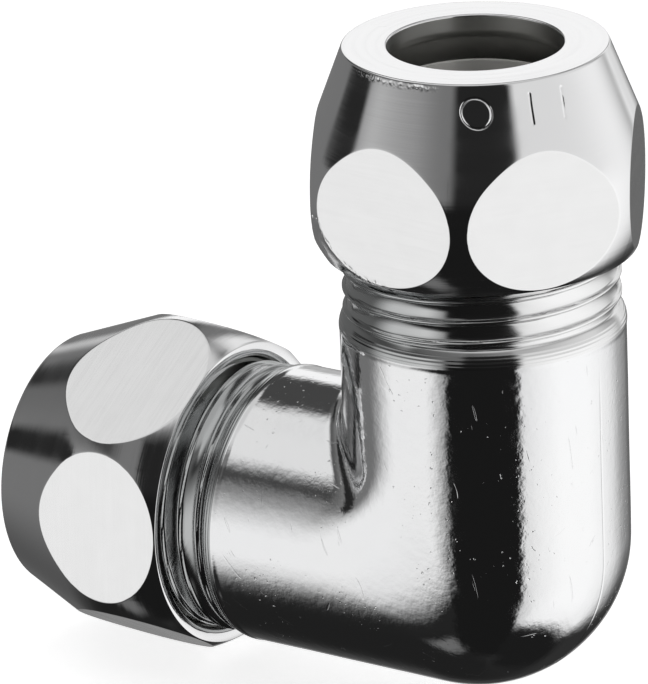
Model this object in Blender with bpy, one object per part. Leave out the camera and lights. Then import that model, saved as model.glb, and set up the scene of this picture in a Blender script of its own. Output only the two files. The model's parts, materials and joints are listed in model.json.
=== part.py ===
"""Ninety-degree compression elbow for 20 mm pipe: forged body, two union nuts and two olives.

The upper port points along +Z and the side port along -X. Distances along a port are measured from the
crossing of the two port axes. The origin is the centre of the underside of the whole fitting's box.
Each nut screws onto a port and squeezes a double-tapered olive between two cones, onto the pipe.
"""

import math

import bmesh
import bpy
from mathutils import Matrix, Vector

MM = 0.001

# Pipe, olive and clearances
PIPE_RADIUS = 10.0 * MM
SOCKET_CLEARANCE = 0.2 * MM
NUT_CLEARANCE = 0.25 * MM
GAP = 0.3 * MM
OLIVE_BORE_RADIUS = 10.15 * MM
OLIVE_EDGE = 0.5 * MM
OLIVE_RADIUS = 12.6 * MM
OLIVE_LENGTH = 8.7 * MM
CONE_SLOPE = math.tan(math.radians(30.0))
CONE_GAP = GAP / math.cos(math.radians(30.0))

# Right-hand thread, 10 turns to the inch
PITCH = 2.54 * MM
MALE_CREST_RADIUS = 16.35 * MM
MALE_ROOT_RADIUS = 14.95 * MM
FEMALE_CREST_RADIUS = MALE_ROOT_RADIUS + GAP
FEMALE_ROOT_RADIUS = MALE_CREST_RADIUS + GAP
RIDGE_BASE = 1.65 * MM
RIDGE_CREST = 0.4 * MM
RIDGE_BURY = 0.25 * MM
RIDGE_FADE_STEPS = 6

# Body, measured out from the crossing along each port
PORT_END = 50.6 * MM
PORT_CHAMFER = 0.75 * MM
SOCKET_DEPTH = 18.0 * MM
COLLAR_END = 30.2 * MM
COLLAR_END_RADIUS = 16.2 * MM
COLLAR_RIM = 28.9 * MM
COLLAR_START = 28.4 * MM
COLLAR_RADIUS = 16.95 * MM
FORGING_END = 28.0 * MM
FORGING_END_RADIUS = 16.88 * MM
FORGING_RADIUS = 16.8 * MM
CORNER_FULLNESS = 1.1
INNER_CORNER_FILLET = 2.2 * MM
FILLET_BLEND = 1.5
WATERWAY_RADIUS = 9.0 * MM
WATERWAY_FILLET = 1.0 * MM
THREAD_LOWEST = 29.6 * MM
THREAD_START_ANGLE = math.pi
THREAD_END = 49.3 * MM

# Nut, measured down from its outer face
NUT_LENGTH = 24.5 * MM
ACROSS_FLATS = 37.0 * MM
NUT_RADIUS = 20.9 * MM
FACE_RADIUS = 15.4 * MM
FACE_BEVEL = 0.45 * MM
FACE_BEVEL_WIDTH = 0.28 * MM
CONE_ANGLE = math.radians(21.3)
WIDEST = 16.6 * MM
SHOULDER_ARC = 15.5 * MM
TAIL_ARC = 14.0 * MM
LAND_RADIUS = PIPE_RADIUS + NUT_CLEARANCE
LAND_LENGTH = 2.5 * MM
EDGE_BREAK = 0.2 * MM
OLIVE_POCKET_RADIUS = 13.2 * MM
OLIVE_POCKET_END = 8.4 * MM
MOUTH_CHAMFER = 0.65 * MM
NUT_THREAD_OUTER = 10.6 * MM
NUT_THREAD_INNER = 22.1 * MM

# Assembly: distance of each nut's outer face from the crossing, and the turn of its flats about the port.
# The side nut has just nipped its olive, and the upper one is backed off a little more than one turn.
SEATED_FACE = 59.8 * MM
UPPER_FACE = 62.5 * MM
SIDE_NUT_TURN = math.radians(31.3)
UPPER_NUT_TURN = math.radians(25.4)
CROSSING = Vector(((SEATED_FACE - NUT_RADIUS) / 2, 0.0, NUT_RADIUS))

# Fineness: steps round a full circle, along the bend and along an arc of the nut's outline
SEGMENTS = 30
BEND_STEPS = 8
ARC_STEPS = 4
SHARP_ANGLE = math.radians(30.0)

# Finishes as colour and roughness
CHROME = ((0.80, 0.81, 0.82), 0.08)
BRASS = ((0.78, 0.60, 0.30), 0.28)

SIDE_PORT = Matrix.Rotation(math.radians(-90.0), 4, "Y")


def clear_scene():
    for item in list(bpy.data.objects):
        bpy.data.objects.remove(item)


def metal(name, colour, roughness):
    material = bpy.data.materials.new(name)
    material.use_nodes = True
    shader = material.node_tree.nodes["Principled BSDF"]
    shader.inputs["Base Color"].default_value = (*colour, 1.0)
    shader.inputs["Metallic"].default_value = 1.0
    shader.inputs["Roughness"].default_value = roughness
    return material


def turned_point(radius, angle, height):
    return Vector((radius * math.cos(angle), radius * math.sin(angle), height))


def mesh_from(bm, name):
    """Write a closed bmesh with its faces turned outwards, and free it."""
    bmesh.ops.recalc_face_normals(bm, faces=bm.faces)
    mesh = bpy.data.meshes.new(name)
    bm.to_mesh(mesh)
    bm.free()
    return mesh


def place(name, mesh, parent=None, matrix=None):
    item = bpy.data.objects.new(name, mesh)
    bpy.context.collection.objects.link(item)
    item.parent = parent
    if matrix is not None:
        item.matrix_basis = matrix
    return item


def skin_mesh(name, rings):
    """Join a cycle of rings of points into one closed skin, the last ring back to the first."""
    bm = bmesh.new()
    rows = [[bm.verts.new(point) for point in ring] for ring in rings]
    count = len(rows[0])
    for index, row in enumerate(rows):
        following = rows[(index + 1) % len(rows)]
        for step in range(count):
            beside = (step + 1) % count
            bm.faces.new((row[step], row[beside], following[beside], following[step]))
    bmesh.ops.triangulate(bm, faces=bm.faces)
    return mesh_from(bm, name)


def around():
    return [math.tau * step / SEGMENTS for step in range(SEGMENTS)]


def turned_mesh(name, profile):
    """Turn a closed outline of (radius, height) points about Z."""
    rings = [
        [turned_point(radius, angle, height) for angle in around()]
        for radius, height in profile
    ]
    return skin_mesh(name, rings)


def hexagon_mesh(name, across_flats, bottom, top):
    """Six-sided prism whose first flat faces +X."""
    half_side_angle = math.pi / 6
    corner_radius = across_flats / 2 / math.cos(half_side_angle)
    bm = bmesh.new()
    corners = []
    for step in range(6):
        corners.append(bm.verts.new(turned_point(corner_radius, half_side_angle * (1 + 2 * step), bottom)))
    base = bm.faces.new(corners)
    raised = bmesh.ops.extrude_face_region(bm, geom=[base])
    lifted = [item for item in raised["geom"] if isinstance(item, bmesh.types.BMVert)]
    bmesh.ops.translate(bm, verts=lifted, vec=(0, 0, top - bottom))
    return mesh_from(bm, name)


def ridge_mesh(name, wall_radius, crest_radius, start_angle, first, last):
    """Right-hand helical ridge of trapezoid section that rises from a wall and fades out at both ends."""
    steps = round((last - first) / PITCH * SEGMENTS)
    direction = math.copysign(1.0, crest_radius - wall_radius)
    root_radius = wall_radius - direction * RIDGE_BURY
    bm = bmesh.new()
    sections = []
    for step in range(steps + 1):
        angle = start_angle + math.tau * step / SEGMENTS
        height = first + PITCH * step / SEGMENTS
        fade = min(1.0, step / RIDGE_FADE_STEPS, (steps - step) / RIDGE_FADE_STEPS)
        buried_tip = wall_radius - direction * RIDGE_BURY / 2 * (1 - fade)
        tip_radius = buried_tip + (crest_radius - wall_radius) * fade
        outline = (
            (root_radius, height - RIDGE_BASE / 2),
            (tip_radius, height - RIDGE_CREST / 2),
            (tip_radius, height + RIDGE_CREST / 2),
            (root_radius, height + RIDGE_BASE / 2),
        )
        sections.append([bm.verts.new(turned_point(radius, angle, point)) for radius, point in outline])
    for section, following in zip(sections, sections[1:]):
        for corner in range(4):
            beside = (corner + 1) % 4
            bm.faces.new((section[corner], section[beside], following[beside], following[corner]))
    bm.faces.new(sections[0])
    bm.faces.new(sections[-1])
    bmesh.ops.triangulate(bm, faces=bm.faces)
    return mesh_from(bm, name)


def combine(mesh, tools):
    """Apply exact Booleans to a mesh, one for each (operation, tool mesh), and return the result."""
    blank = place("blank", mesh)
    helpers = []
    for operation, tool_mesh in tools:
        helper = place("tool", tool_mesh)
        modifier = blank.modifiers.new(operation, "BOOLEAN")
        modifier.operation = operation
        modifier.solver = "EXACT"
        modifier.object = helper
        helpers.append(helper)
    bpy.context.view_layer.update()
    graph = bpy.context.evaluated_depsgraph_get()
    result = bpy.data.meshes.new_from_object(blank.evaluated_get(graph))
    for item in (blank, *helpers):
        bpy.data.objects.remove(item)
    return result


def finish(item, material):
    """Give an object its material and round shading with crisp machined edges."""
    item.data.materials.clear()
    item.data.materials.append(material)
    item.data.shade_smooth()
    item.data.set_sharp_from_angle(angle=SHARP_ANGLE)


def bend_radius(offset, fillet):
    """Radius of the turn of a line that runs beside the body's centre line, offset from it outwards.

    It follows the offset on the outer side of the bend and blends into a small fillet on the inner side.
    """
    return (offset + fillet + math.hypot(offset - fillet, FILLET_BLEND * fillet)) / 2


def upper_ring(distance, radius):
    return [turned_point(radius, angle, distance) for angle in around()]


def side_ring(distance, radius):
    return [Vector((-distance, radius * math.sin(angle), -radius * math.cos(angle))) for angle in around()]


def bend_ring(turn, radius, fillet, fullness):
    """Ring of the bend at a turn from the upper port (0) to the side port (pi / 2)."""
    points = []
    for angle in around():
        offset = radius * math.cos(angle)
        bend = fullness * bend_radius(offset, fillet)
        points.append(Vector((
            offset - bend + bend * math.cos(turn),
            radius * math.sin(angle),
            bend - offset - bend * math.sin(turn),
        )))
    return points


def body_mesh():
    """Elbow body as one skin: up the outside from port to port, then back through the waterway."""
    socket_radius = PIPE_RADIUS + SOCKET_CLEARANCE
    mouth_radius = OLIVE_BORE_RADIUS + OLIVE_EDGE + CONE_GAP + CONE_SLOPE * (PORT_END - olive_bottom())
    mouth_depth = (mouth_radius - socket_radius) / CONE_SLOPE
    outside = (
        (PORT_END, MALE_ROOT_RADIUS - PORT_CHAMFER),
        (PORT_END - PORT_CHAMFER, MALE_ROOT_RADIUS),
        (COLLAR_END, MALE_ROOT_RADIUS),
        (COLLAR_END - EDGE_BREAK, COLLAR_END_RADIUS),
        (COLLAR_RIM, COLLAR_RADIUS),
        (COLLAR_START, COLLAR_RADIUS),
        (FORGING_END, FORGING_END_RADIUS),
    )
    inside = (
        (PORT_END - SOCKET_DEPTH, WATERWAY_RADIUS),
        (PORT_END - SOCKET_DEPTH, socket_radius),
        (PORT_END - mouth_depth, socket_radius),
        (PORT_END, mouth_radius),
    )
    turns = [math.pi / 2 * step / BEND_STEPS for step in range(BEND_STEPS + 1)]
    rings = [upper_ring(distance, radius) for distance, radius in outside]
    rings += [bend_ring(turn, FORGING_RADIUS, INNER_CORNER_FILLET, CORNER_FULLNESS) for turn in turns]
    rings += [side_ring(distance, radius) for distance, radius in reversed(outside)]
    rings += [side_ring(distance, radius) for distance, radius in reversed(inside)]
    rings += [bend_ring(turn, WATERWAY_RADIUS, WATERWAY_FILLET, 1.0) for turn in reversed(turns)]
    rings += [upper_ring(distance, radius) for distance, radius in inside]
    upper_thread = port_thread_mesh(UPPER_FACE, UPPER_NUT_TURN)
    side_thread = port_thread_mesh(SEATED_FACE, SIDE_NUT_TURN)
    side_thread.transform(SIDE_PORT)
    return combine(skin_mesh("elbow_body", rings), (("UNION", upper_thread), ("UNION", side_thread)))


def port_thread_mesh(nut_face, nut_turn):
    """Thread of a port, each turn midway between two turns of the nut that stands there."""
    turns = (THREAD_START_ANGLE - nut_turn) / math.tau
    height = nut_face - NUT_THREAD_INNER + PITCH * (turns + 0.5)
    first = height + math.ceil((THREAD_LOWEST - height) / PITCH) * PITCH
    return ridge_mesh(
        "port_thread", MALE_ROOT_RADIUS, MALE_CREST_RADIUS, THREAD_START_ANGLE, first, THREAD_END
    )


def arc_outline(arc_radius, first_angle, last_angle):
    """Arc of the nut's outline that touches its widest circle; the angles are slopes, positive below it."""
    points = []
    for step in range(ARC_STEPS + 1):
        slope = first_angle + (last_angle - first_angle) * step / ARC_STEPS
        radius = NUT_RADIUS - arc_radius * (1 - math.cos(slope))
        points.append((radius, -WIDEST - arc_radius * math.sin(slope)))
    return points


def nut_mesh():
    """Union nut with its outer face at z = 0: cone, rounded shoulder and tail, flats, thread inside."""
    seated_olive_top = SEATED_FACE - olive_bottom() - OLIVE_LENGTH
    olive_edge_radius = OLIVE_BORE_RADIUS + OLIVE_EDGE + CONE_GAP
    pocket_start = seated_olive_top + (OLIVE_POCKET_RADIUS - olive_edge_radius) / CONE_SLOPE
    tail_angle = math.asin((NUT_LENGTH - WIDEST) / TAIL_ARC)
    profile = [
        (LAND_RADIUS + EDGE_BREAK, 0.0),
        (FACE_RADIUS, 0.0),
        (FACE_RADIUS + FACE_BEVEL_WIDTH, -FACE_BEVEL),
        *arc_outline(SHOULDER_ARC, -CONE_ANGLE, 0.0),
        *arc_outline(TAIL_ARC, 0.0, tail_angle)[1:],
        (FEMALE_ROOT_RADIUS + MOUTH_CHAMFER, -NUT_LENGTH),
        (FEMALE_ROOT_RADIUS, -NUT_LENGTH + MOUTH_CHAMFER),
        (FEMALE_ROOT_RADIUS, -OLIVE_POCKET_END),
        (OLIVE_POCKET_RADIUS, -OLIVE_POCKET_END),
        (OLIVE_POCKET_RADIUS, -pocket_start),
        (olive_edge_radius + CONE_SLOPE * (LAND_LENGTH - seated_olive_top), -LAND_LENGTH),
        (LAND_RADIUS, -LAND_LENGTH),
        (LAND_RADIUS, -EDGE_BREAK),
    ]
    flats = hexagon_mesh("flats", ACROSS_FLATS, -NUT_LENGTH - GAP, GAP)
    thread = ridge_mesh(
        "nut_thread", FEMALE_ROOT_RADIUS, FEMALE_CREST_RADIUS, 0.0, -NUT_THREAD_INNER, -NUT_THREAD_OUTER
    )
    return combine(turned_mesh("nut", profile), (("INTERSECT", flats), ("UNION", thread)))


def olive_bottom():
    """Distance of the olive's inner end from the crossing; a seated nut's land is one gap above its other end."""
    return SEATED_FACE - LAND_LENGTH - GAP - OLIVE_LENGTH


def olive_mesh():
    """Double-tapered compression olive with its inner end at z = 0."""
    edge_radius = OLIVE_BORE_RADIUS + OLIVE_EDGE
    taper = (OLIVE_RADIUS - edge_radius) / CONE_SLOPE
    profile = (
        (OLIVE_BORE_RADIUS, OLIVE_LENGTH),
        (edge_radius, OLIVE_LENGTH),
        (OLIVE_RADIUS, OLIVE_LENGTH - taper),
        (OLIVE_RADIUS, taper),
        (edge_radius, 0.0),
        (OLIVE_BORE_RADIUS, 0.0),
    )
    return turned_mesh("olive", profile)


def build():
    clear_scene()
    plated = metal("chrome_plate", *CHROME)
    plain_brass = metal("plain_brass", *BRASS)

    crossing = place("port_crossing", None, matrix=Matrix.Translation(CROSSING))
    finish(place("elbow_body", body_mesh(), crossing), plated)

    nut = nut_mesh()
    upper_spot = Matrix.Translation((0, 0, UPPER_FACE)) @ Matrix.Rotation(UPPER_NUT_TURN, 4, "Z")
    side_spot = SIDE_PORT @ Matrix.Translation((0, 0, SEATED_FACE)) @ Matrix.Rotation(SIDE_NUT_TURN, 4, "Z")
    finish(place("upper_nut", nut, crossing, upper_spot), plated)
    finish(place("side_nut", nut.copy(), crossing, side_spot), plated)

    olive = olive_mesh()
    olive_spot = Matrix.Translation((0, 0, olive_bottom()))
    finish(place("upper_olive", olive, crossing, olive_spot), plain_brass)
    finish(place("side_olive", olive.copy(), crossing, SIDE_PORT @ olive_spot), plain_brass)


build()
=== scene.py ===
"""Looks of a right-angle compression fitting: one forged elbow, two union nuts and two olives.

Every surface is a skin of rings computed from the design's dimensions, so threads, clipped flats, engraved
marks and casting dents are real geometry. Each port has its own axis: height is the distance from the
crossing of the two axes, and angle is the turn about the port.
"""

import json
import math

import bpy
import numpy as np
from mathutils import Matrix, Vector, noise


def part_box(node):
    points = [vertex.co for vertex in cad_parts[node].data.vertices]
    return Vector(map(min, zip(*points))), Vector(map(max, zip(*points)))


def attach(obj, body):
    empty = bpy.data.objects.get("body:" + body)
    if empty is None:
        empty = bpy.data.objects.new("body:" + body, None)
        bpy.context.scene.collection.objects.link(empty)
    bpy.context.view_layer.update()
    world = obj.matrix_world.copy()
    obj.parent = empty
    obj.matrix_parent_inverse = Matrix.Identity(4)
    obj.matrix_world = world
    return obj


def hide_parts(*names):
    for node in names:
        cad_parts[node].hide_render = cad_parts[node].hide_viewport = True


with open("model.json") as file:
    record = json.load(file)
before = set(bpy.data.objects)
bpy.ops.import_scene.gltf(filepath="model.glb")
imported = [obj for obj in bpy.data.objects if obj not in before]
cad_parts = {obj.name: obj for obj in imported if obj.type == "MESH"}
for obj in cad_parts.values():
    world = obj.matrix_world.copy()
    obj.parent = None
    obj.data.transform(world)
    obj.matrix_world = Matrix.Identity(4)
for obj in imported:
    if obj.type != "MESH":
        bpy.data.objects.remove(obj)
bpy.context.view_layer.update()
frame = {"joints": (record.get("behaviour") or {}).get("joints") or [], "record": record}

MM = 0.001

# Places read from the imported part
JOINTS = {joint["name"]: joint for joint in frame["joints"]}
MOUNTS = {mount["name"]: mount for mount in frame["record"]["mounts"]}
UPPER_SPOT = Vector(JOINTS["upper_nut_turn"]["pos_m"])
SIDE_SPOT = Vector(JOINTS["side_nut_turn"]["pos_m"])
CROSSING = Vector((UPPER_SPOT.x, 0.0, SIDE_SPOT.z))
UPPER_FACE = UPPER_SPOT.z - CROSSING.z
SEATED_FACE = CROSSING.x - SIDE_SPOT.x
NUT_RADIUS = CROSSING.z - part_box("side_nut")[0].z
NUT_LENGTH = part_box("side_nut")[1].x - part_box("side_nut")[0].x
OLIVE_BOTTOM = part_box("upper_olive")[0].z - CROSSING.z
OLIVE_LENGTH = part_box("upper_olive")[1].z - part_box("upper_olive")[0].z
OLIVE_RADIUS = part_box("upper_olive")[1].x - CROSSING.x
PORT_END = CROSSING.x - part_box("elbow_body")[0].x
SIDE_PORT = Matrix.Rotation(-math.pi / 2, 4, "Y")

# Thread; the body's heights are from the crossing of the port axes, the nut's are from its outer face
PITCH = 2.54 * MM
MALE_CREST_RADIUS = 16.35 * MM
MALE_ROOT_RADIUS = 14.95 * MM
MALE_RUNOUT_RADIUS = 15.8 * MM
MALE_RUNOUT = (36.3 * MM, 38.3 * MM)
CREST_HALF = 0.14 * MM
FLANK_SLOPE = 0.55
GROOVE_BOW = 0.13 * MM
FEMALE_CREST_RADIUS = 15.25 * MM
FEMALE_ROOT_RADIUS = 16.65 * MM
FEMALE_CREST_WIDTH = 0.4 * MM
FEMALE_BASE_WIDTH = 1.4 * MM
MALE_THREAD = (30.5 * MM, 49.3 * MM)
FEMALE_THREAD = (-22.1 * MM, -10.6 * MM)
THREAD_FADE = 0.4 * PITCH
THREAD_STEP = 0.13 * MM
FEMALE_THREAD_STEP = 0.35 * MM

# Olive and the cones that grip it
CONE_SLOPE = math.tan(math.radians(30.0))
OLIVE_BORE_RADIUS = 10.15 * MM
OLIVE_END_RADIUS = OLIVE_BORE_RADIUS + 0.5 * MM
OLIVE_CORNER = 0.12 * MM
OLIVE_COLUMNS = 160
SEAT_EDGE_RADIUS = OLIVE_END_RADIUS + 0.35 * MM

# Body, measured from the crossing of the port axes
PORT_CHAMFER = 0.75 * MM
PIPE_SOCKET_RADIUS = 10.2 * MM
SOCKET_DEPTH = 18.0 * MM
SOCKET_STEP = 2.0 * MM
WATERWAY_RADIUS = 9.0 * MM
WATERWAY_FILLET = 1.0 * MM
WATERWAY_ROWS = 17
FORGING_RADIUS = 16.8 * MM
CORNER_FULLNESS = 1.1
CORNER_SOFTNESS = 1.5
INNER_CORNER_FILLET = 2.2 * MM
INNER_FLANK_FILLET = 6.0 * MM
FLANK_START = (-0.66, -0.2)  # cosines of the angle from the outer side of the bend
FLANK_END = (0.5, -0.1)
BEND_ROWS = 45
TUBE_ROWS = 24
BODY_COLUMNS = 172
COLLAR_FOOT = 27.2 * MM
COLLAR_RIM = 28.45 * MM
COLLAR_TOP = 30.6 * MM
COLLAR_STEP = 0.08 * MM
COLLAR_OUTLINE = (  # height and radius in millimetres, from the foot to under the thread
    (27.2, 16.8), (27.8, 16.8), (28.0, 16.82), (28.25, 16.86), (28.5, 16.87), (29.0, 16.80),
    (29.5, 16.64), (29.9, 16.44), (30.3, 16.16), (30.5, 16.0), (30.8, 15.4),
)
COLLAR_SOFTENING = (-0.09, -0.03, 0.03, 0.09)  # shifts in millimetres that are averaged
TOOL_STEPS_START = (28.4 * MM, 28.6 * MM)
TOOL_STEPS_END = (30.0 * MM, 29.8 * MM)
TOOL_STEP_DEPTH = 0.018 * MM
TOOL_STEP_PITCH = 0.42 * MM

# Forged skin
SEAM_ANGLE = math.radians(5.0)
SEAM_DEPTH = 0.05 * MM
SEAM_WIDTH = 0.11 * MM
SEAM_COLUMNS = (0.0, 0.2, 0.4, 0.6, 0.9, 1.3)  # degrees to each side of the parting line
RELIEF = (  # depth and size in millimetres of the waviness and dents, and where their noise is read
    (0.030, 9.0, (0.0, 0.0, 0.0)),
    (0.010, 2.6, (7.0, 3.0, 1.0)),
    (0.0035, 0.95, (2.0, 9.0, 4.0)),
)
RELIEF_FADE_ROWS = 6.0

# Nut, measured down from its outer face
FACE_RADIUS = 15.4 * MM
CONE_START = 0.45 * MM
CONE_START_RADIUS = 15.68 * MM
CONE_ANGLE = math.radians(21.3)
WIDEST = 16.6 * MM
SHOULDER_ARC = 15.5 * MM
TAIL_ARC = 14.0 * MM
TAIL_ROUND = 0.12 * MM
CONE_END = WIDEST - SHOULDER_ARC * math.sin(CONE_ANGLE)
CONE_END_RADIUS = NUT_RADIUS - SHOULDER_ARC * (1 - math.cos(CONE_ANGLE))
LAND_RADIUS = 10.25 * MM
LAND_LENGTH = 2.5 * MM
OLIVE_POCKET_RADIUS = 13.2 * MM
OLIVE_POCKET_END = 8.4 * MM
MOUTH_RADIUS = 17.3 * MM
MOUTH_CHAMFER = 0.65 * MM
BACK_STEP = 0.8 * MM
EDGE_ROUND = 0.03 * MM

# Rows and columns of a nut's skin
SECTOR = math.pi / 3
PLAIN_REACH = math.radians(25.2)
PLAIN_COLUMNS = 14
EDGE_COLUMNS = (math.radians(25.4), math.radians(29.9))
EDGE_COLUMN_STEP = 0.08 * MM / NUT_RADIUS
FINE_COLUMN_STEP = 0.007
LEAST_COLUMN_STEP = 0.0008
PLAIN_CONE_STEP = 0.5 * MM
FINE_CONE_STEP = 0.1 * MM
FINE_CONE_END = 6.2 * MM
BESIDE_EDGE = np.array([0.55, 0.3, 0.16, 0.08, 0.03]) * MM
BEYOND_EDGE = 0.75 * MM
LEAST_HALF_FLAT = 1.5 * MM
LEAST_TAIL = 0.1 * MM

# Plain mark engraved on the upper nut's cone: a ring and two bars
MARK_ANGLE = math.radians(-40.0)
MARK_MIDDLE = 3.3 * MM
MARK_HALF_HEIGHT = 1.75 * MM
RING_PLACE = -5.2 * MM
BAR_PLACES = (1.2 * MM, 5.4 * MM)
STROKE_DEPTH = 0.09 * MM
STROKE_SIDES = (0.17 * MM, 0.05 * MM)

# Nicks in the upper nut's edges
WORN_ANGLE = math.radians(-105.0)
WORN_REACH = (0.42, 0.3)
WORN_SHIFT = (0.17, -0.18)  # turn from the worn angle to the stretch at the face and at the tail
FACE_REACH = (1.0 * MM, 0.5 * MM)
TAIL_REACH = (0.55 * MM, 0.2 * MM)
NICK_SIZE = 0.34 * MM
NICK_DEPTH = 0.16 * MM
NICK_THRESHOLD = 0.12
SMALL_NICKS = (2.3, 0.5)  # how many times as close together, and how many times as deep

# Angles between which the columns of the upper nut are close together, for the mark and the nicks
FINE_COLUMNS = (MARK_ANGLE - math.radians(90.0), MARK_ANGLE + math.radians(29.0))

# The side nut's flat that is milled deeper than the others
DEEP_FLAT_ANGLE = math.radians(-29.0)
DEEPER = 0.3 * MM


def port_angle(direction, port):
    """Angle about a port's axis of a direction given in the world."""
    local = port.to_3x3().inverted() @ Vector(direction)
    return math.atan2(local.y, local.x)


UPPER_FLAT_ANGLE = port_angle(MOUNTS["upper_nut_flat"]["axis"], Matrix.Identity(4))
SIDE_FLAT_ANGLE = port_angle(MOUNTS["side_nut_flat"]["axis"], SIDE_PORT)
FLAT_SPOT = Vector(MOUNTS["upper_nut_flat"]["pos_m"])
FLAT_DISTANCE = (FLAT_SPOT - CROSSING).dot(Vector(MOUNTS["upper_nut_flat"]["axis"]))


def skin(name, rings, finishes, finish_of_face):
    """Closed surface through a cycle of rings, which are an array of (rows, columns, 3).

    The rings run so that the faces point outwards, and the last one is joined to the first. The finishes
    are the materials, and each face takes the one whose number finish_of_face gives.
    """
    rows, columns = rings.shape[:2]
    here = np.arange(rows * columns).reshape(rows, columns)
    beside = np.roll(here, -1, axis=1)
    corners = np.stack((here, np.roll(here, -1, axis=0), np.roll(beside, -1, axis=0), beside), axis=-1)
    count = rows * columns
    mesh = bpy.data.meshes.new(name)
    mesh.vertices.add(count)
    mesh.vertices.foreach_set("co", rings.astype(np.float32).ravel())
    mesh.loops.add(4 * count)
    mesh.loops.foreach_set("vertex_index", corners.astype(np.int32).ravel())
    mesh.polygons.add(count)
    mesh.polygons.foreach_set("loop_start", np.arange(0, 4 * count, 4, dtype=np.int32))
    mesh.polygons.foreach_set("material_index", finish_of_face.astype(np.int32).ravel())
    mesh.update(calc_edges=True)
    mesh.validate()
    mesh.shade_smooth()
    for finish in finishes:
        mesh.materials.append(finish)
    item = bpy.data.objects.new(name, mesh)
    bpy.context.scene.collection.objects.link(item)
    return item


def spaced(first, last, step):
    """Evenly spaced values from first to last, both included, at most step apart."""
    return np.linspace(first, last, max(2, math.ceil(abs(last - first) / step) + 1))


def smooth_step(low, high, value):
    """0 at low and before, 1 at high and beyond, with a smooth rise between them."""
    share = np.clip((value - low) / (high - low), 0.0, 1.0)
    return share * share * (3.0 - 2.0 * share)


def soft_least(first, second, width):
    """The lesser of two radii, with the edge between them rounded."""
    return (first + second - np.sqrt((first - second) ** 2 + width**2)) / 2.0


def crest_distance(height, angle, start_height):
    """Distance along the axis to the nearest crest of a right-hand thread that passes start_height."""
    turns = (height - start_height) / PITCH - angle / math.tau
    return np.abs(turns - np.round(turns)) * PITCH


def male_thread_radius(height, angle, start_height):
    """Narrow crests on broad shallow grooves; the grooves run out shallower towards the collar."""
    distance = crest_distance(height, angle, start_height)
    root = MALE_RUNOUT_RADIUS - (MALE_RUNOUT_RADIUS - MALE_ROOT_RADIUS) * smooth_step(*MALE_RUNOUT, height)
    foot = CREST_HALF + FLANK_SLOPE * (MALE_CREST_RADIUS - root - GROOVE_BOW)
    groove = root + GROOVE_BOW * np.clip((PITCH / 2 - distance) / (PITCH / 2 - foot), 0.0, 1.0) ** 2
    crest = smooth_step(foot, CREST_HALF, distance)
    crest = crest * smooth_step(MALE_THREAD[1] + THREAD_FADE, MALE_THREAD[1] - THREAD_FADE, height)
    return groove + (MALE_CREST_RADIUS - groove) * crest


def female_thread_radius(height, angle, start_height):
    """Internal ridges that stand in the grooves of the body's thread."""
    distance = crest_distance(height, angle, start_height)
    share = smooth_step(FEMALE_BASE_WIDTH / 2, FEMALE_CREST_WIDTH / 2, distance)
    low, high = FEMALE_THREAD
    fade = smooth_step(low - THREAD_FADE, low + THREAD_FADE, height)
    fade = fade * smooth_step(high + THREAD_FADE, high - THREAD_FADE, height)
    return FEMALE_ROOT_RADIUS - (FEMALE_ROOT_RADIUS - FEMALE_CREST_RADIUS) * share * fade


# ---------------------------------------------------------------- body


def collar_radius(height):
    """Turned collar between the thread and the forging: a swelling rim below a cone with fine tool steps."""
    heights, radii = np.array(COLLAR_OUTLINE).T * MM
    softened = [np.interp(height + shift * MM, heights, radii) for shift in COLLAR_SOFTENING]
    stepped = smooth_step(*TOOL_STEPS_START, height) * smooth_step(*TOOL_STEPS_END, height)
    steps = TOOL_STEP_DEPTH * stepped * np.sin(math.tau * height / TOOL_STEP_PITCH)
    return sum(softened) / len(softened) + steps


def body_angles():
    """Angles about the port, closer together over the parting line."""
    beside_seam = np.radians(SEAM_COLUMNS)
    fine = np.concatenate((beside_seam, -beside_seam))
    even = np.arange(BODY_COLUMNS) * math.tau / BODY_COLUMNS
    return np.unique(np.concatenate((even, (fine - SEAM_ANGLE) % math.tau)))


def bend_radius(offset, fillet):
    """Radius of the turn taken by a line that runs beside the body's centre line, offset from it outwards."""
    return (offset + fillet + np.hypot(offset - fillet, CORNER_SOFTNESS * fillet)) / 2


def upper_points(heights, radii, angles):
    """Points about the upper port; the angle is measured from the outer side of the bend."""
    angle, height = np.broadcast_arrays(angles[None, :], heights)
    radius = np.broadcast_to(radii, angle.shape)
    return np.stack((radius * np.cos(angle), radius * np.sin(angle), height), axis=-1)


def side_points(heights, radii, angles):
    """Points about the side port; the angle is measured from its underside, the outer side of the bend."""
    angle, height = np.broadcast_arrays(angles[None, :], heights)
    radius = np.broadcast_to(radii, angle.shape)
    return np.stack((-height, radius * np.sin(angle), -radius * np.cos(angle)), axis=-1)


def bend_points(turns, radius, angles, fillet, fullness):
    """Rings of a round tube that turns from the upper port into the side port, its inner corner rounded."""
    offset = radius * np.cos(angles)[None, :]
    bend = fullness * bend_radius(offset, fillet)
    turn = turns[:, None]
    x = offset - bend + bend * np.cos(turn)
    z = bend - offset - bend * np.sin(turn)
    return np.stack((x, np.broadcast_to(radius * np.sin(angles)[None, :], x.shape), z), axis=-1)


def thread_start(nut_face, flat_angle):
    """Height at angle 0 of a body thread whose turns stand midway between those of the nut on it."""
    return nut_face + FEMALE_THREAD[0] + PITCH / 2 - PITCH * flat_angle / math.tau


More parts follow.
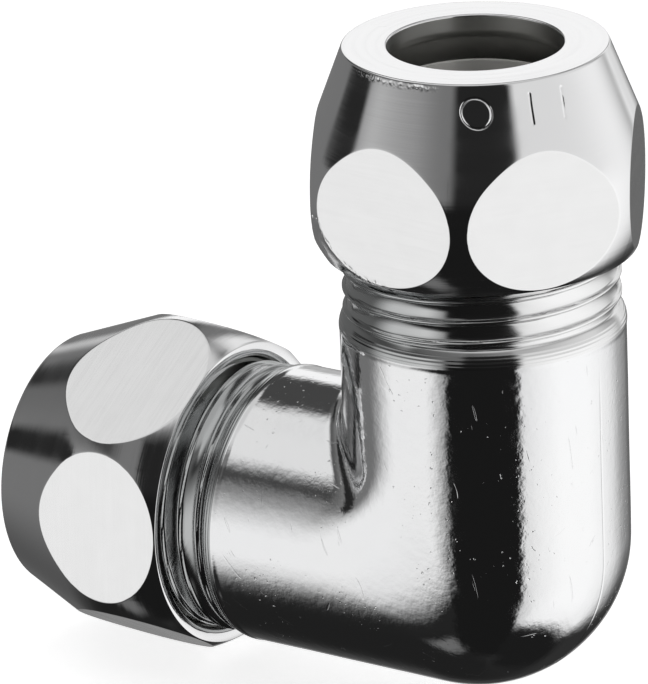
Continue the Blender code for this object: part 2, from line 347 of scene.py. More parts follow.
def thread_rows(angles, start_height):
    """Heights and radii of a port's outside, from its end down to the foot of the collar."""
    heights = np.concatenate((
        [PORT_END, PORT_END - PORT_CHAMFER / 2],
        spaced(PORT_END - PORT_CHAMFER, MALE_THREAD[0], THREAD_STEP)[:-1],
        spaced(MALE_THREAD[0], COLLAR_FOOT, COLLAR_STEP),
    ))[:, None]
    thread = male_thread_radius(heights, angles[None, :], start_height)
    thread = np.minimum(thread, MALE_ROOT_RADIUS + (PORT_END - PORT_CHAMFER - heights))
    return heights, np.maximum(thread, np.where(heights < COLLAR_TOP, collar_radius(heights), 0.0))


def cast_relief(points):
    """Waviness and small dents of the forged skin, in metres along the normal."""
    relief = np.zeros(len(points))
    for index, point in enumerate(points):
        for depth, size, start in RELIEF:
            relief[index] += depth * noise.noise(Vector(point) / (size * MM) + Vector(start))
    return relief * MM


def forging_rings(angles):
    """Rings of the forging from the upper collar round the bend to the side collar, before its relief."""
    outwards = np.cos(angles)
    flank = smooth_step(*FLANK_START, outwards) * smooth_step(*FLANK_END, outwards)
    fillet = INNER_CORNER_FILLET + INNER_FLANK_FILLET * flank
    turns = np.linspace(0.0, math.pi / 2, BEND_ROWS)
    bend = bend_points(turns, FORGING_RADIUS, angles, fillet, CORNER_FULLNESS)
    share = np.linspace(0.0, 1.0, TUBE_ROWS + 2)[1:-1, None, None]
    upper_foot = upper_points(np.array([[COLLAR_FOOT]]), FORGING_RADIUS, angles)
    side_foot = side_points(np.array([[COLLAR_FOOT]]), FORGING_RADIUS, angles)
    upper_tube = upper_foot * (1 - share) + bend[:1] * share
    side_tube = bend[-1:] * (1 - share) + side_foot * share
    return np.concatenate((upper_tube, bend, side_tube))


def forged_skin(forged, angles):
    """Add the waviness and the parting line to the rings of the forging."""
    along = np.gradient(forged, axis=0)
    around = np.roll(forged, -1, axis=1) - np.roll(forged, 1, axis=1)
    normals = np.cross(around, along)
    normals /= np.linalg.norm(normals, axis=-1, keepdims=True)
    outwards = forged - forged.mean(axis=1, keepdims=True)
    normals *= np.sign(np.einsum("ijk,ijk->ij", normals, outwards).mean())
    relief = cast_relief(forged.reshape(-1, 3)).reshape(forged.shape[:2])
    arc = FORGING_RADIUS * np.abs((angles + SEAM_ANGLE + math.pi) % math.tau - math.pi)
    seam = -SEAM_DEPTH * np.exp(-((arc / SEAM_WIDTH) ** 2))
    row = np.arange(len(forged))
    end_fade = np.minimum(1.0, np.minimum(row, row[::-1]) / RELIEF_FADE_ROWS)[:, None]
    return forged + normals * ((relief + seam[None, :]) * end_fade)[..., None]


def socket_outline():
    """Heights and radii of a port's inside: seat for the olive, pipe socket and pipe stop."""
    mouth_radius = SEAT_EDGE_RADIUS + CONE_SLOPE * (PORT_END - OLIVE_BOTTOM)
    seat_depth = (mouth_radius - PIPE_SOCKET_RADIUS) / CONE_SLOPE
    corners = np.array([
        (PORT_END, mouth_radius),
        (PORT_END - seat_depth, PIPE_SOCKET_RADIUS),
        (PORT_END - SOCKET_DEPTH, PIPE_SOCKET_RADIUS),
        (PORT_END - SOCKET_DEPTH, WATERWAY_RADIUS),
    ])
    heights, radii = refine(corners, SOCKET_STEP)
    return heights[:, None], radii[:, None]


def elbow(finishes):
    """Forged elbow: the outside from the upper port to the side port, then back through the waterway."""
    cast, turned, bore = range(3)
    angles = body_angles()
    upper_heights, upper_radii = thread_rows(angles, thread_start(UPPER_FACE, UPPER_FLAT_ANGLE))
    side_heights, side_radii = thread_rows(math.pi - angles, thread_start(SEATED_FACE, SIDE_FLAT_ANGLE))
    side_heights, side_radii = side_heights[::-1], side_radii[::-1]
    inside_heights, inside_radii = socket_outline()
    waterway_turns = np.linspace(math.pi / 2, 0.0, WATERWAY_ROWS)
    upper_finish = np.where(upper_heights[:, 0] > COLLAR_RIM, turned, cast)
    side_finish = np.where(side_heights[:, 0] > COLLAR_RIM, turned, cast)
    blocks = (
        (upper_points(upper_heights, upper_radii, angles), upper_finish),
        (forged_skin(forging_rings(angles), angles), cast),
        (side_points(side_heights, side_radii, angles), side_finish),
        (side_points(inside_heights, inside_radii, angles), bore),
        (bend_points(waterway_turns, WATERWAY_RADIUS, angles, WATERWAY_FILLET, 1.0), bore),
        (upper_points(inside_heights[::-1], inside_radii[::-1], angles), bore),
    )
    rings = np.concatenate([block for block, _ in blocks])
    finish = np.concatenate([np.broadcast_to(number, len(block)) for block, number in blocks])
    item = skin("elbow_forging", rings, finishes, np.repeat(finish[:, None], len(angles), axis=1))
    item.location = CROSSING
    return item


def refine(corners, step):
    """Heights and radii of points along an outline, at most step apart, all corners kept."""
    points = [corners[:1]]
    for first, second in zip(corners, corners[1:]):
        count = max(1, math.ceil(np.linalg.norm(second - first) / step))
        share = np.arange(1, count + 1)[:, None] / count
        points.append(first * (1 - share) + second * share)
    return np.concatenate(points).T


# ---------------------------------------------------------------- nuts


def nut_profile_radius(height):
    """Outer radius of the nut before the flats are milled: cone, shoulder arc and tail arc."""
    depth = -height
    down_cone = (depth - CONE_START) / (CONE_END - CONE_START)
    cone = CONE_START_RADIUS + (CONE_END_RADIUS - CONE_START_RADIUS) * down_cone
    arc = np.where(depth < WIDEST, SHOULDER_ARC, TAIL_ARC)
    away = np.minimum(np.abs(depth - WIDEST), arc)
    return np.where(depth < CONE_END, cone, NUT_RADIUS - arc + np.sqrt(arc**2 - away**2))


def depths_at_radius(radius):
    """Depths above and below the widest place at which the turned outline has a radius."""
    down_cone = (radius - CONE_START_RADIUS) / (CONE_END_RADIUS - CONE_START_RADIUS)
    on_cone = CONE_START + (CONE_END - CONE_START) * down_cone

    def beside_widest(arc):
        return np.sqrt(np.maximum(arc**2 - (radius - NUT_RADIUS + arc) ** 2, 0.0))

    on_shoulder = WIDEST - beside_widest(SHOULDER_ARC)
    return np.where(radius < CONE_END_RADIUS, on_cone, on_shoulder), WIDEST + beside_widest(TAIL_ARC)


def nut_angles(fine_range):
    """Angles about the nut, closer together at the edges of the flats and in the fine range."""
    sector = np.concatenate((
        np.linspace(0.0, PLAIN_REACH, PLAIN_COLUMNS),
        np.arange(*EDGE_COLUMNS, EDGE_COLUMN_STEP),
        [SECTOR / 2],
    ))
    sector = np.concatenate((sector, -sector))
    angles = (sector[None, :] + np.arange(6)[:, None] * SECTOR).ravel()
    if fine_range is not None:
        angles = np.concatenate((angles, np.arange(*fine_range, FINE_COLUMN_STEP)))
    angles = np.unique(np.round(angles % math.tau, 6))
    keep = np.diff(np.concatenate((angles, [angles[0] + math.tau]))) > LEAST_COLUMN_STEP
    return angles[keep]


def between(first, second, rows):
    """Rows of heights that lead from one row to another, the second one included and the first one not."""
    share = np.linspace(0.0, 1.0, rows + 1)[1:, None]
    return first * (1 - share) + second * share


def nut_outer(angles, deep_flat, cone_step):
    """Heights and radii of the nut's outside, in rows that follow the edges of the flats.

    Also gives which places are on a flat, and the height of each flat's lower edge.
    """
    from_flat = np.abs((angles + SECTOR / 2) % SECTOR - SECTOR / 2)
    flat_index = np.round(angles / SECTOR) % 6
    flat_radius = (FLAT_DISTANCE - DEEPER * (flat_index == deep_flat)) / np.cos(from_flat)
    upper_depth, lower_depth = depths_at_radius(np.minimum(flat_radius, NUT_RADIUS))
    top = -np.minimum(upper_depth, WIDEST - LEAST_HALF_FLAT)
    last = -NUT_LENGTH + TAIL_ROUND
    bottom = np.maximum(-np.maximum(lower_depth, WIDEST + LEAST_HALF_FLAT), last + LEAST_TAIL)
    beside = BESIDE_EDGE[:, None]
    tail_share = np.arange(1, len(BESIDE_EDGE) + 1)[:, None] / (len(BESIDE_EDGE) + 1)
    below = np.minimum(beside[::-1], 0.8 * (bottom - last) * tail_share)
    cone = spaced(-CONE_START, -FINE_CONE_END, cone_step)[:, None]
    heights = np.concatenate((
        np.repeat(cone, len(angles), axis=1),
        between(-FINE_CONE_END, top + BEYOND_EDGE, 9),
        top + beside,
        top[None, :],
        top - beside[::-1],
        (top - BEYOND_EDGE)[None, :],
        between(top - BEYOND_EDGE, bottom + BEYOND_EDGE, 15),
        bottom + beside,
        bottom[None, :],
        bottom - below,
        between(bottom - below[-1], last, 9),
    ))
    turned = nut_profile_radius(heights)
    return heights, soft_least(turned, flat_radius, EDGE_ROUND), turned > flat_radius, bottom


def nut_face_outline():
    """The outer face, with the edge of the bore inside it and the edge of the cone outside it."""
    heights = np.array([-0.2, -0.06, 0.0, 0.0, 0.0, 0.0, 0.0, -0.03, -0.12, -0.28]) * MM
    radii = np.concatenate((
        LAND_RADIUS + np.array([0.0, 0.07, 0.2]) * MM,
        np.linspace(LAND_RADIUS + 0.3 * MM, FACE_RADIUS - 0.15 * MM, 3),
        FACE_RADIUS + np.array([-0.02, 0.06, 0.14, 0.22]) * MM,
    ))
    return heights, radii


def nut_end_rings(tail_radii):
    """Heights and radii of the inner end, from the rounded tail to the chamfer of the thread's mouth."""
    heights = -NUT_LENGTH + np.array([0.05, 0.0, 0.0, 0.0, 0.3]) * MM
    radii = np.stack((
        tail_radii - 0.03 * MM,
        tail_radii - 0.1 * MM,
        (tail_radii + MOUTH_RADIUS) / 2,
        np.full(len(tail_radii), MOUTH_RADIUS),
        np.full(len(tail_radii), MOUTH_RADIUS - 0.32 * MM),
    ))
    return np.repeat(heights[:, None], len(tail_radii), axis=1), radii


def nut_back_outline():
    """The inside beyond the thread: shoulder, pocket, cone for the olive and land round the pipe."""
    olive_top = SEATED_FACE - OLIVE_BOTTOM - OLIVE_LENGTH
    pocket_start = olive_top + (OLIVE_POCKET_RADIUS - SEAT_EDGE_RADIUS) / CONE_SLOPE
    land_edge = SEAT_EDGE_RADIUS + CONE_SLOPE * (LAND_LENGTH - olive_top)
    corners = np.array([
        (-OLIVE_POCKET_END, FEMALE_ROOT_RADIUS - 0.2 * MM),
        (-OLIVE_POCKET_END, OLIVE_POCKET_RADIUS),
        (-pocket_start, OLIVE_POCKET_RADIUS),
        (-LAND_LENGTH, land_edge),
        (-LAND_LENGTH, LAND_RADIUS),
        (-0.3 * MM, LAND_RADIUS),
    ])
    return refine(corners, BACK_STEP)


def nut(name, finishes, flat_angle, marked=False, deep_flat_angle=None):
    """Union nut with its outer face at height 0: the outside down to the inner end, then back up its bore."""
    turned, flat, bore = range(3)
    angles = nut_angles([angle - flat_angle for angle in FINE_COLUMNS] if marked else None)
    deep_flat = None
    if deep_flat_angle is not None:
        deep_flat = round((deep_flat_angle - flat_angle) / SECTOR) % 6
    cone_step = FINE_CONE_STEP if marked else PLAIN_CONE_STEP
    heights, radii, on_flat, tail_edge = nut_outer(angles, deep_flat, cone_step)
    if marked:
        radii = radii - engraving(heights, radii, angles + flat_angle)
        radii = radii - wear(heights, radii, angles + flat_angle, tail_edge)
    thread_heights = spaced(-NUT_LENGTH + MOUTH_CHAMFER, -OLIVE_POCKET_END, FEMALE_THREAD_STEP)[:, None]
    thread = female_thread_radius(thread_heights, angles[None, :], FEMALE_THREAD[0])

    def around(outline):
        return [np.repeat(values[:, None], len(angles), axis=1) for values in outline]

    sections = (
        (*around(nut_face_outline()), turned),
        (heights, radii, np.where(on_flat, flat, turned)),
        (*nut_end_rings(radii[-1]), turned),
        (np.repeat(thread_heights, len(angles), axis=1), thread, bore),
        (*around(nut_back_outline()), bore),
    )
    height = np.concatenate([section[0] for section in sections])
    radius = np.concatenate([section[1] for section in sections])
    finish = np.concatenate([np.broadcast_to(section[2], section[0].shape) for section in sections])
    world_angles = angles + flat_angle
    rings = np.stack((radius * np.cos(world_angles), radius * np.sin(world_angles), height), axis=-1)
    return skin(name, rings, finishes, finish)


def engraving(heights, radii, angles):
    """Depth of a plain mark cut into the cone: a ring and two short bars."""
    across = radii * ((angles[None, :] - MARK_ANGLE + math.pi) % math.tau - math.pi)
    down = -heights / math.cos(CONE_ANGLE) - MARK_MIDDLE
    strokes = [np.abs(np.hypot(across - RING_PLACE, down) - MARK_HALF_HEIGHT)]
    for place in BAR_PLACES:
        strokes.append(np.hypot(across - place, np.maximum(np.abs(down) - MARK_HALF_HEIGHT, 0.0)))
    return STROKE_DEPTH * smooth_step(*STROKE_SIDES, np.minimum.reduce(strokes))


def wear(heights, radii, angles, tail_edge):
    """Depth of the nicks knocked into two stretches of edge: at the face, and where a flat meets the tail."""
    turn = (angles[None, :] - WORN_ANGLE + math.pi) % math.tau - math.pi
    face_stretch, tail_stretch = (smooth_step(*WORN_REACH, np.abs(turn - shift)) for shift in WORN_SHIFT)
    worn = smooth_step(*FACE_REACH, -heights) * face_stretch
    worn = worn + smooth_step(*TAIL_REACH, np.abs(heights - tail_edge)) * tail_stretch
    closer, share = SMALL_NICKS
    depth = np.zeros(heights.shape)
    for row, column in zip(*np.nonzero(worn > 0.01)):
        radius, angle = radii[row, column], angles[column]
        place = Vector((radius * math.cos(angle), radius * math.sin(angle), heights[row, column])) / NICK_SIZE
        depth[row, column] = max(0.0, noise.noise(place) - NICK_THRESHOLD)
        depth[row, column] += share * max(0.0, noise.noise(place * closer))
    return NICK_DEPTH * depth * worn


# ---------------------------------------------------------------- olives


def olive(name, finishes):
    """Double-tapered ring with its inner end at height 0."""
    taper = (OLIVE_RADIUS - OLIVE_END_RADIUS) / CONE_SLOPE
    corners = np.array([
        (OLIVE_LENGTH, OLIVE_BORE_RADIUS),
        (OLIVE_LENGTH, OLIVE_END_RADIUS),
        (OLIVE_LENGTH - taper, OLIVE_RADIUS),
        (taper, OLIVE_RADIUS),
        (0.0, OLIVE_END_RADIUS),
        (0.0, OLIVE_BORE_RADIUS),
    ])
    height, radius = rounded(corners, OLIVE_CORNER).T[:, :, None]
    angles = np.arange(OLIVE_COLUMNS) * math.tau / OLIVE_COLUMNS
    rings = np.stack(np.broadcast_arrays(radius * np.cos(angles), radius * np.sin(angles), height), axis=-1)
    return skin(name, rings, finishes, np.zeros(rings.shape[:2]))


def rounded(corners, size):
    """Closed outline with every corner replaced by a small three-point round."""
    result = []
    for index, point in enumerate(corners):
        before = corners[index - 1] - point
        after = corners[(index + 1) % len(corners)] - point
        before *= min(size, np.linalg.norm(before) / 3) / np.linalg.norm(before)
        after *= min(size, np.linalg.norm(after) / 3) / np.linalg.norm(after)
        result += [point + before, point + (before + after) * 0.22, point + after]
    return np.array(result)


# ---------------------------------------------------------------- materials


class Nodes:
    """Short helper to build a material's or the world's node tree. Noise scales are in cycles a metre."""

    def __init__(self, tree):
        self.tree = tree

    def add(self, kind, **settings):
        node = self.tree.nodes.new(kind)
        for name, value in settings.items():
            setattr(node, name, value)
        return node

    def feed(self, socket, value):
        if isinstance(value, bpy.types.NodeSocket):
            self.tree.links.new(value, socket)
        else:
            socket.default_value = value

    def math(self, operation, first, second=0.0, third=0.0):
        node = self.add("ShaderNodeMath", operation=operation)
        for socket, value in zip(node.inputs, (first, second, third)):
            self.feed(socket, value)
        return node.outputs[0]

    def times(self, first, second):
        return self.math("MULTIPLY", first, second)

    def ramp(self, value, low, high, from_low, from_high):
        """Smooth change from low to high while the value goes from from_low to from_high."""
        node = self.add("ShaderNodeMapRange", interpolation_type="SMOOTHSTEP")
        for socket, item in zip(node.inputs, (value, from_low, from_high, low, high)):
            self.feed(socket, item)
        return node.outputs[0]

    def noise(self, vector, scale=1.0, detail=2.0, roughness=0.5):
        node = self.add("ShaderNodeTexNoise")
        self.feed(node.inputs["Vector"], vector)
        node.inputs["Scale"].default_value = scale
        node.inputs["Detail"].default_value = detail
        node.inputs["Roughness"].default_value = roughness
        return node.outputs["Fac"]

    def vector(self, x=0.0, y=0.0, z=0.0):
        node = self.add("ShaderNodeCombineXYZ")
        for socket, value in zip(node.inputs, (x, y, z)):
            self.feed(socket, value)
        return node.outputs[0]

    def split(self, vector):
        node = self.add("ShaderNodeSeparateXYZ")
        self.feed(node.inputs[0], vector)
        return node.outputs

    def turned(self, x, y, angle):
        """Coordinates along axes that are turned by an angle."""
        cosine, sine = math.cos(angle), math.sin(angle)
        along = self.math("ADD", self.times(x, cosine), self.times(y, sine))
        across = self.math("SUBTRACT", self.times(y, cosine), self.times(x, sine))
        return along, across

    def scaled(self, vector, factors):
        node = self.add("ShaderNodeVectorMath", operation="MULTIPLY")
        self.feed(node.inputs[0], vector)
        node.inputs[1].default_value = factors
        return node.outputs[0]

    def rotated(self, vector, angles):
        node = self.add("ShaderNodeVectorRotate", rotation_type="EULER_XYZ")
        self.feed(node.inputs["Vector"], vector)
        node.inputs["Rotation"].default_value = angles
        return node.outputs[0]

    def blend(self, share, first, second):
        node = self.add("ShaderNodeMix", data_type="RGBA")
        self.feed(node.inputs[0], share)
        node.inputs[6].default_value = (*first, 1.0)
        node.inputs[7].default_value = (*second, 1.0)
        return node.outputs[2]

    def bump(self, height, distance, normal=None):
        node = self.add("ShaderNodeBump")
        self.feed(node.inputs["Height"], height)
        node.inputs["Distance"].default_value = distance
        node.inputs["Strength"].default_value = 1.0
        if normal is not None:
            self.feed(node.inputs["Normal"], normal)
        return node.outputs[0]


def metal(name, colour, roughness):
    """Metallic material, its shader and its node helper."""
    material = bpy.data.materials.new(name)
    material.use_nodes = True
    shader = material.node_tree.nodes["Principled BSDF"]
    shader.inputs["Base Color"].default_value = (*colour, 1.0)
    shader.inputs["Metallic"].default_value = 1.0
    shader.inputs["Roughness"].default_value = roughness
    return material, shader, Nodes(material.node_tree)


CHROME = (0.89, 0.89, 0.895)


def cast_chrome():
    """Chrome over a forged skin: orange peel, a few pits, fine scratches and a slightly uneven gloss."""
    material, shader, nodes = metal("cast_chrome", CHROME, roughness=0.05)
    place = nodes.add("ShaderNodeTexCoord").outputs["Object"]
    rough_places = nodes.ramp(nodes.noise(place, scale=130.0), 0.0, 1.0, 0.42, 0.62)
    peel = nodes.noise(place, scale=900.0)
    grain = nodes.noise(place, scale=3000.0, detail=1.0)
    grain = nodes.times(grain, nodes.math("ADD", rough_places, 0.25))
    pits = nodes.ramp(nodes.noise(place, scale=1900.0, detail=1.0), 0.0, 1.0, 0.29, 0.21)
    normal = nodes.bump(peel, 0.022 * MM)
    normal = nodes.bump(grain, 0.006 * MM, normal)
    normal = nodes.bump(nodes.times(pits, rough_places), -0.03 * MM, normal)
    scratch_sets = (  # noise scales along the three axes, and the turn of those axes
        ((150.0, 2400.0, 150.0), (0.0, 0.5, 0.3)),
        ((2100.0, 130.0, 260.0), (0.6, 0.0, 0.9)),
    )
    for scales, turn in scratch_sets:
        strokes = nodes.noise(nodes.scaled(nodes.rotated(place, turn), scales), detail=1.0)
        normal = nodes.bump(nodes.ramp(strokes, 1.0, 0.0, 0.735, 0.765), 0.012 * MM, normal)
    nodes.feed(shader.inputs["Normal"], normal)
    gloss = nodes.noise(place, scale=420.0, detail=3.0, roughness=0.6)
    nodes.feed(shader.inputs["Roughness"], nodes.ramp(gloss, 0.04, 0.12, 0.35, 0.75))
    tint = nodes.noise(place, scale=60.0)
    nodes.feed(shader.inputs["Base Color"], nodes.blend(tint, (0.87, 0.875, 0.89), (0.90, 0.90, 0.895)))
    return material


def turned_coordinates(nodes):
    """Radius, angle and height about the piece's own axis."""
    x, y, z = nodes.split(nodes.add("ShaderNodeTexCoord").outputs["Object"])
    radius = nodes.math("SQRT", nodes.math("ADD", nodes.times(x, x), nodes.times(y, y)))
    return radius, nodes.math("ARCTAN2", y, x), z


def stretch_across_marks(nodes, shader):
    """Blur the reflections across the tool rings of a turned surface, along the piece's own axis."""
    tangent = nodes.add("ShaderNodeTangent", direction_type="RADIAL", axis="Z")
    nodes.feed(shader.inputs["Tangent"], tangent.outputs[0])
    shader.inputs["Anisotropic"].default_value = 0.85
    shader.inputs["Anisotropic Rotation"].default_value = 0.25


def turned_chrome(name, mark_depth, roughness, colour=CHROME):
    """Chrome over turned brass, with fine and broad tool rings that vary along the surface."""
    material, shader, nodes = metal(name, colour, roughness)
    radius, angle, height = turned_coordinates(nodes)
    along = nodes.math("ADD", height, nodes.times(radius, 1.7))
    fine_place = nodes.vector(nodes.times(along, 5200.0), nodes.times(angle, 0.35))
    broad_place = nodes.vector(nodes.times(along, 900.0), nodes.times(angle, 0.8))
    fine = nodes.noise(fine_place, detail=4.0, roughness=0.6)
    broad = nodes.noise(broad_place)
    normal = nodes.bump(fine, mark_depth)
    normal = nodes.bump(broad, 2.0 * mark_depth, normal)
    nodes.feed(shader.inputs["Normal"], normal)
    nodes.feed(shader.inputs["Roughness"], nodes.ramp(broad, roughness, roughness + 0.08, 0.3, 0.7))
    return material


def thread_chrome():
    """Chrome on the threads and collars, with painted shade: its colour darkens towards the inner corner,
    where less light falls.
    """
    material = turned_chrome("thread_chrome", 0.005 * MM, 0.08)
    nodes = Nodes(material.node_tree)
    x, y, _ = nodes.split(nodes.add("ShaderNodeTexCoord").outputs["Object"])
    from_corner, _ = nodes.turned(x, y, 0.59)
    # Painted shade: the colour goes from half bright near the inner corner to full brightness away from it.
    out_of_painted_shade = nodes.ramp(from_corner, 0.0, 1.0, -12.0 * MM, 4.0 * MM)
    shader = material.node_tree.nodes["Principled BSDF"]
    nodes.feed(shader.inputs["Base Color"], nodes.blend(out_of_painted_shade, (0.50, 0.51, 0.51), (0.86, 0.86, 0.86)))
    return material


def bore_metal():
    """Turned inner surfaces, with coarser tool rings."""
    material = turned_chrome("bore_metal", 0.012 * MM, 0.3, (0.62, 0.62, 0.60))
    stretch_across_marks(Nodes(material.node_tree), material.node_tree.nodes["Principled BSDF"])
    return material


def milled_chrome():
    """Chrome over milled flats: faint parallel cutter lines and a soft mottle."""
    material, shader, nodes = metal("milled_chrome", CHROME, roughness=0.12)
    place = nodes.add("ShaderNodeTexCoord").outputs["Object"]
    x, y, z = nodes.split(place)
    cutter_place = nodes.vector(nodes.times(z, 5000.0), nodes.times(x, 90.0), nodes.times(y, 90.0))
    lines = nodes.noise(cutter_place, detail=3.0, roughness=0.6)
    mottle = nodes.noise(place, scale=320.0, detail=3.0, roughness=0.6)
    normal = nodes.bump(lines, 0.0012 * MM)
    normal = nodes.bump(mottle, 0.004 * MM, normal)
    nodes.feed(shader.inputs["Normal"], normal)
    nodes.feed(shader.inputs["Roughness"], nodes.ramp(lines, 0.10, 0.18, 0.3, 0.7))
    nodes.feed(shader.inputs["Base Color"], nodes.blend(mottle, (0.86, 0.86, 0.86), (0.91, 0.91, 0.91)))
    return material


def olive_metal():
    """Turned olive with fine concentric tool rings."""
    material, shader, nodes = metal("olive_metal", (0.95, 0.94, 0.91), roughness=0.6)
    radius, _, height = turned_coordinates(nodes)
    along = nodes.math("ADD", height, nodes.times(radius, 1.3))
    rings = nodes.noise(nodes.vector(nodes.times(along, 4200.0)), detail=3.0, roughness=0.6)
    nodes.feed(shader.inputs["Normal"], nodes.bump(rings, 0.02 * MM))
    stretch_across_marks(nodes, shader)
    return material


# ---------------------------------------------------------------- studio


CAMERA_AZIMUTH = math.radians(33.71)
CAMERA_ELEVATION = math.radians(20.53)
CAMERA_ROLL = math.radians(-2.07)
CAMERA_DISTANCE = 867.3 * MM
CAMERA_TARGET = Vector((-21.125, 0.0, 21.711)) * MM
CAMERA_LENS = 384.8
SENSOR = 36.0
CAMERA_SHIFT = (-0.0135, 0.0019)


def add_camera():
    """Long lens that looks down on the fitting from the front."""
    data = bpy.data.cameras.new("camera")
    data.lens = CAMERA_LENS
    data.sensor_width = SENSOR
    data.sensor_fit = "AUTO"
    data.shift_x, data.shift_y = CAMERA_SHIFT
    data.clip_end = 20.0
    camera = bpy.data.objects.new("camera", data)
    bpy.context.scene.collection.objects.link(camera)
    turn = (
        Matrix.Rotation(CAMERA_AZIMUTH, 3, "Z")
        @ Matrix.Rotation(math.pi / 2 - CAMERA_ELEVATION, 3, "X")
        @ Matrix.Rotation(CAMERA_ROLL, 3, "Z")
    )
    place = CROSSING + CAMERA_TARGET + turn @ Vector((0.0, 0.0, CAMERA_DISTANCE))
    camera.matrix_world = Matrix.Translation(place) @ turn.to_4x4()
    bpy.context.scene.camera = camera


# The studio round the fitting, painted in this order. Angles are in degrees, azimuths are from the camera:
# azimuth, elevation, half width, half height, softness of the sides, softness of top and bottom, tilt, level
PANELS = (
    (-66, -13, 28, 24, 14, 18, 0, 0.92),
    (-70, -62, 110, 22, 12, 7, 22, 0.018),
    (-100, -70, 90, 18, 20, 6, 0, 0.015),
    (-62, -66, 15, 8, 8, 5, 0, 0.15),
    (-112, 8.5, 15, 5.5, 3, 2.5, 8, 0.02),
    (-135, 34, 50, 12, 15, 10, 0, 0.10),
    (-70, 34, 20, 6, 12, 4, 0, 0.06),
    (66, 10, 54, 36, 18, 20, 0, 0.75),
    (76, -22, 52, 34, 22, 7, 0, 0.92),
    (76, -24, 26, 26, 16, 12, 0, 1.06),
    (150, -46, 42, 12, 8, 7, 32, 0.03),
    (80, -72, 80, 14, 20, 5, 0, 0.012),
    (144, 15, 9, 30, 5, 12, 0, 0.85),
    (160, -2, 18, 10, 6, 8, 0, 0.75),
    (180, 16, 16, 9, 6, 5, 0, 1.0),
    (0, 74, 190, 21, 1, 5, 0, 0.65),
    (-108, 50, 34, 12, 6, 7, 0, 0.80),
    (-164, 49, 14, 8, 7, 6, 0, 0.06),
    (-172, 39.5, 16, 12, 6, 3, 0, 0.06),
    (-148, 24, 11, 5, 4, 2, 0, 0.03),
    (4, 18, 23.5, 30, 4, 8, 0, 0.018),
    (-3, -38, 29.5, 46, 3, 6, 0, 0.010),
    (-8, -55, 33, 27, 3, 4, 0, 0.010),
    (176, -24, 10, 10, 6, 6, 0, 0.4),
    (166, -20, 7, 6, 3, 3, 0, 0.14),
)
LOW_AMBIENT = 0.025
HIGH_AMBIENT = 0.18
AMBIENT_RISE = (-55.0, -15.0)
FLOOR_HALF_WIDTH = 3.0
FLOOR_GAP = 0.05 * MM


def add_world():
    """White for the camera, and for all else a studio of soft light and dark cards round the object."""
    world = bpy.data.worlds.new("studio")
    bpy.context.scene.world = world
    world.use_nodes = True
    world.node_tree.nodes.clear()
    nodes = Nodes(world.node_tree)
    x, y, z = nodes.split(nodes.add("ShaderNodeTexCoord").outputs["Generated"])
    azimuth = nodes.math("DEGREES", nodes.math("ARCTAN2", x, nodes.times(y, -1.0)))
    azimuth = nodes.math("SUBTRACT", azimuth, math.degrees(CAMERA_AZIMUTH))
    elevation = nodes.math("DEGREES", nodes.math("ARCSINE", z))
    light = nodes.ramp(elevation, LOW_AMBIENT, HIGH_AMBIENT, *AMBIENT_RISE)
    for place, height, half_width, half_height, side_edge, level_edge, tilt, level in PANELS:
        across = nodes.math("WRAP", nodes.math("SUBTRACT", azimuth, place), 180.0, -180.0)
        up = nodes.math("SUBTRACT", elevation, height)
        if tilt:
            across, up = nodes.turned(across, up, math.radians(tilt))
        across = nodes.math("ABSOLUTE", across)
        up = nodes.math("ABSOLUTE", up)
        wide = nodes.ramp(across, 1.0, 0.0, half_width - side_edge, half_width + side_edge)
        high = nodes.ramp(up, 1.0, 0.0, half_height - level_edge, half_height + level_edge)
        change = nodes.times(nodes.times(wide, high), nodes.math("SUBTRACT", level, light))
        light = nodes.math("ADD", light, change)
    studio = nodes.add("ShaderNodeBackground")
    nodes.feed(studio.inputs["Color"], nodes.vector(light, light, light))
    backdrop = nodes.add("ShaderNodeBackground")
    backdrop.inputs["Color"].default_value = (1.0, 1.0, 1.0, 1.0)
    seen = nodes.add("ShaderNodeLightPath").outputs["Is Camera Ray"]
    mix = nodes.add("ShaderNodeMixShader")
    nodes.feed(mix.inputs[0], seen)
    nodes.feed(mix.inputs[1], studio.outputs[0])
    nodes.feed(mix.inputs[2], backdrop.outputs[0])
    output = nodes.add("ShaderNodeOutputWorld")
    nodes.feed(output.inputs["Surface"], mix.outputs[0])


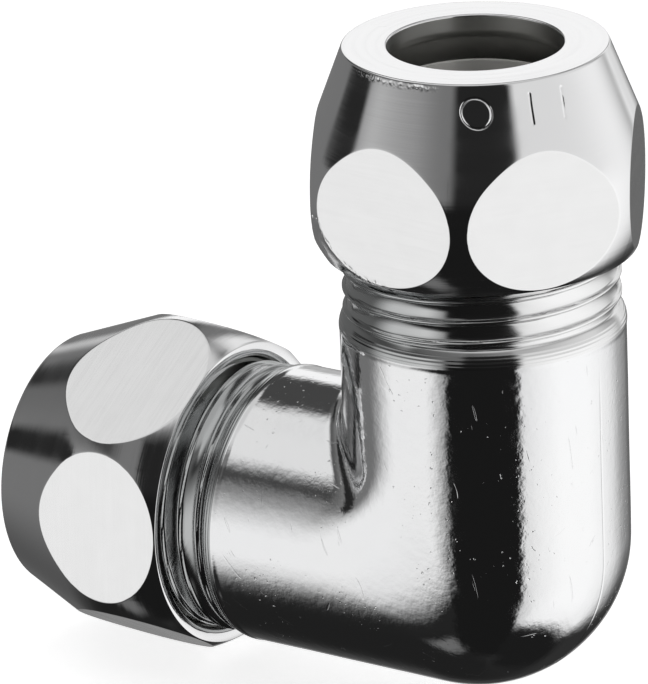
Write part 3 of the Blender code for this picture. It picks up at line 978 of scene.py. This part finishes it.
def add_floor():
    """Pale floor under the fitting, kept out of the reflections."""
    mesh = bpy.data.meshes.new("floor")
    corners = [Vector((x, y, 0.0)) * FLOOR_HALF_WIDTH for x, y in ((-1, -1), (1, -1), (1, 1), (-1, 1))]
    mesh.from_pydata(corners, [], [(0, 1, 2, 3)])
    floor = bpy.data.objects.new("floor", mesh)
    bpy.context.scene.collection.objects.link(floor)
    floor.location.z = -FLOOR_GAP
    floor.visible_glossy = False
    material = bpy.data.materials.new("floor")
    material.use_nodes = True
    shader = material.node_tree.nodes["Principled BSDF"]
    shader.inputs["Base Color"].default_value = (0.9, 0.9, 0.9, 1.0)
    shader.inputs["Roughness"].default_value = 0.9
    shader.inputs["Emission Color"].default_value = (1.0, 1.0, 1.0, 1.0)
    shader.inputs["Emission Strength"].default_value = 0.75
    mesh.materials.append(material)


# ---------------------------------------------------------------- assembly


def build():
    """Make every piece, put it in its place and let it ride on its body."""
    cast = cast_chrome()
    turned = turned_chrome("turned_chrome", 0.005 * MM, 0.05)
    threads = thread_chrome()
    bore = bore_metal()
    flats = milled_chrome()
    olive_finish = olive_metal()

    forging = elbow([cast, threads, bore])
    nut_finishes = [turned, flats, bore]
    upper = nut("upper_union_nut", nut_finishes, UPPER_FLAT_ANGLE, marked=True)
    side = nut("side_union_nut", nut_finishes, SIDE_FLAT_ANGLE, deep_flat_angle=DEEP_FLAT_ANGLE)
    upper_ring = olive("upper_brass_olive", [olive_finish])
    side_ring = olive("side_brass_olive", [olive_finish])
    upper.matrix_world = Matrix.Translation(UPPER_SPOT)
    side.matrix_world = Matrix.Translation(SIDE_SPOT) @ SIDE_PORT
    upper_ring.matrix_world = Matrix.Translation(CROSSING + Vector((0.0, 0.0, OLIVE_BOTTOM)))
    side_ring.matrix_world = Matrix.Translation(CROSSING - Vector((OLIVE_BOTTOM, 0.0, 0.0))) @ SIDE_PORT
    pieces = (
        (forging, "elbow", "elbow_body", "plated_body"),
        (upper, "upper_nut", "upper_nut", "plated_nut"),
        (side, "side_nut", "side_nut", "plated_nut"),
        (upper_ring, "upper_olive", "upper_olive", "olive_brass"),
        (side_ring, "side_olive", "side_olive", "olive_brass"),
    )
    for piece, body, node, slot in pieces:
        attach(piece, body)
        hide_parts(node)


build()
add_floor()
add_world()
add_camera()
bpy.context.scene.view_settings.view_transform = "Standard"
